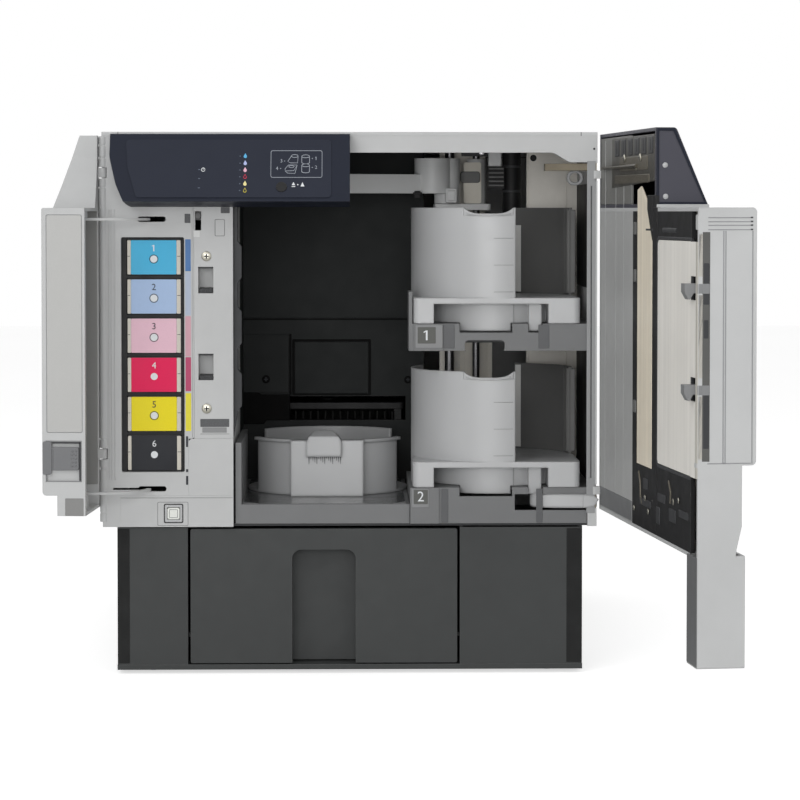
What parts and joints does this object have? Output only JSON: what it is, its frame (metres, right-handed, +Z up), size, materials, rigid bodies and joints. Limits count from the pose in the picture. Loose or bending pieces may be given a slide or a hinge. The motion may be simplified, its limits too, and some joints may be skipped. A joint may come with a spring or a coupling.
{
  "type": "disc label printer",
  "caption": "Desktop autoloading disc label printer with a hinged disc door, stackers, transfer arm, slide-out drawer and an ink bay behind its own cover.",
  "frame": {"origin": "centre of the base pan's flat underside, 3 mm above the surface that the rubber feet stand on", "axes": "+Z up, +X to the right as seen from the front, +Y to the back"},
  "size_m": [0.4925, 0.7291, 0.414],
  "materials": {
    "light_shell": "light grey moulded ABS, fine texture",
    "dark_base": "dark grey moulded ABS, fine texture",
    "black_plastic": "black moulded plastic",
    "dark_trim": "dark grey moulded plastic",
    "panel_dark": "blue-black satin plastic",
    "panel_gloss": "blue-black gloss overlay",
    "shelf_grey": "mid grey moulded plastic",
    "cup_grey": "light grey moulded plastic",
    "steel": "bright steel",
    "plate_steel": "zinc-plated sheet steel",
    "rubber": "black rubber",
    "smoked_window": "smoked transparent plastic",
    "latch_grey": "mid-dark grey plastic",
    "button_white": "off-white plastic",
    "circuit_board": "green circuit board",
    "ink_1": "cartridge with a cyan label",
    "ink_2": "cartridge with a light cyan label",
    "ink_3": "cartridge with a light magenta label",
    "ink_4": "cartridge with a magenta label",
    "ink_5": "cartridge with a yellow label",
    "ink_6": "cartridge with a black label"
  },
  "bodies": {
    "root": {"left_side_cover": "light_shell", "right_side_cover": "light_shell", "top_cover": "light_shell", "front_frame": "light_shell", "ink_bezel": "light_shell", "column_cover": "light_shell", "front_sill": "light_shell", "chamber_tray": "light_shell", "back_panel": "light_shell", "base_pan": "dark_base", "base_left_cover": "dark_base", "base_right_cover": "dark_base", "ink_rack": "black_plastic", "chamber_walls": "black_plastic", "printer_housing": "black_plastic", "lift_motor": "black_plastic", "control_panel_shell": "panel_dark", "control_panel_face": "panel_gloss", "upper_shelf": "shelf_grey", "lower_shelf": "shelf_grey", "column_screws": "steel", "lift_rods": "steel", "printer_guide_shaft": "steel", "door_hinge_arms": "steel", "main_deck": "plate_steel", "lift_frame": "plate_steel", "bay_rear_plate": "plate_steel", "power_supply": "plate_steel", "rubber_feet": "rubber", "main_board": "circuit_board"},
    "disc_door": {"door_shell": "light_shell", "door_inner_frame": "dark_trim", "door_hinge_panel": "light_shell", "door_window": "smoked_window", "door_band": "panel_dark", "door_hinge_lugs": "steel"},
    "door_latch": {"door_latch": "dark_trim"},
    "ink_cover": {"ink_cover_shell": "light_shell", "ink_cover_arms": "steel"},
    "ink_latch": {"ink_latch": "latch_grey"},
    "stacker_1": {"stacker_1_cup": "cup_grey", "stacker_1_guide": "dark_trim"},
    "stacker_2": {"stacker_2_cup": "cup_grey", "stacker_2_guide": "dark_trim"},
    "stacker_3": {"stacker_3_bin": "cup_grey"},
    "drawer": {"drawer_front": "dark_base", "drawer_tray": "dark_base"},
    "printer_tray": {"printer_tray": "black_plastic"},
    "lift_carriage": {"lift_carriage": "cup_grey"},
    "transfer_arm": {"transfer_arm": "cup_grey"},
    "print_carriage": {"print_carriage": "black_plastic"},
    "power_button": {"power_button": "button_white"},
    "panel_button": {"panel_button": "button_white"},
    "lock_slider": {"lock_slider": "steel"},
    "cartridge_1": {"cartridge_1": "ink_1"},
    "cartridge_2": {"cartridge_2": "ink_2"},
    "cartridge_3": {"cartridge_3": "ink_3"},
    "cartridge_4": {"cartridge_4": "ink_4"},
    "cartridge_5": {"cartridge_5": "ink_5"},
    "cartridge_6": {"cartridge_6": "ink_6"}
  },
  "joints": [
    {"name": "door_hinge", "type": "hinge", "parent": "root", "child": "disc_door", "pos_m": [0.1875, -0.2105, 0.25], "axis": [0, 0, 1], "range_deg": [-96.6, 0]},
    {"name": "door_latch_slide", "type": "slide", "parent": "disc_door", "child": "door_latch", "axis": [0, 0, 1], "range_m": [0, 0.004], "stiffness_N_per_m": 150, "springref_m": -0.002},
    {"name": "ink_cover_hinge", "type": "hinge", "parent": "root", "child": "ink_cover", "pos_m": [-0.1875, -0.2105, 0.25], "axis": [0, 0, -1], "range_deg": [-94, 0]},
    {"name": "ink_latch_slide", "type": "slide", "parent": "ink_cover", "child": "ink_latch", "axis": [0, 0, -1], "range_m": [0, 0.005], "stiffness_N_per_m": 100, "springref_m": -0.002},
    {"name": "stacker_1_slide", "type": "slide", "parent": "root", "child": "stacker_1", "axis": [0, -1, 0], "range_m": [0, 0.13]},
    {"name": "stacker_2_slide", "type": "slide", "parent": "root", "child": "stacker_2", "axis": [0, -1, 0], "range_m": [0, 0.13]},
    {"name": "stacker_3_slide", "type": "slide", "parent": "root", "child": "stacker_3", "axis": [0, -1, 0], "range_m": [0, 0.14]},
    {"name": "drawer_slide", "type": "slide", "parent": "root", "child": "drawer", "axis": [0, -1, 0], "range_m": [0, 0.24]},
    {"name": "printer_tray_slide", "type": "slide", "parent": "root", "child": "printer_tray", "axis": [0, -1, 0], "range_m": [0, 0.143]},
    {"name": "arm_lift", "type": "slide", "parent": "root", "child": "lift_carriage", "axis": [0, 0, 1], "range_m": [-0.18, 0]},
    {"name": "arm_swing", "type": "hinge", "parent": "lift_carriage", "child": "transfer_arm", "pos_m": [0.08, -0.046, 0.375], "axis": [0, 0, 1], "range_deg": [0, 85.4]},
    {"name": "print_carriage_slide", "type": "slide", "parent": "root", "child": "print_carriage", "axis": [1, 0, 0], "range_m": [-0.11, 0.04]},
    {"name": "power_button_press", "type": "slide", "parent": "root", "child": "power_button", "axis": [0, 1, 0], "range_m": [0, 0.0015], "stiffness_N_per_m": 400},
    {"name": "panel_button_press", "type": "slide", "parent": "root", "child": "panel_button", "axis": [0, 0.9082, -0.4185], "range_m": [0, 0.0015], "stiffness_N_per_m": 400},
    {"name": "lock_slide", "type": "slide", "parent": "root", "child": "lock_slider", "axis": [0, 0, -1], "range_m": [0, 0.008]},
    {"name": "cartridge_1_slide", "type": "slide", "parent": "root", "child": "cartridge_1", "axis": [0, -1, 0], "range_m": [0, 0.1]},
    {"name": "cartridge_2_slide", "type": "slide", "parent": "root", "child": "cartridge_2", "axis": [0, -1, 0], "range_m": [0, 0.1]},
    {"name": "cartridge_3_slide", "type": "slide", "parent": "root", "child": "cartridge_3", "axis": [0, -1, 0], "range_m": [0, 0.1]},
    {"name": "cartridge_4_slide", "type": "slide", "parent": "root", "child": "cartridge_4", "axis": [0, -1, 0], "range_m": [0, 0.1]},
    {"name": "cartridge_5_slide", "type": "slide", "parent": "root", "child": "cartridge_5", "axis": [0, -1, 0], "range_m": [0, 0.1]},
    {"name": "cartridge_6_slide", "type": "slide", "parent": "root", "child": "cartridge_6", "axis": [0, -1, 0], "range_m": [0, 0.1]}
  ]
}
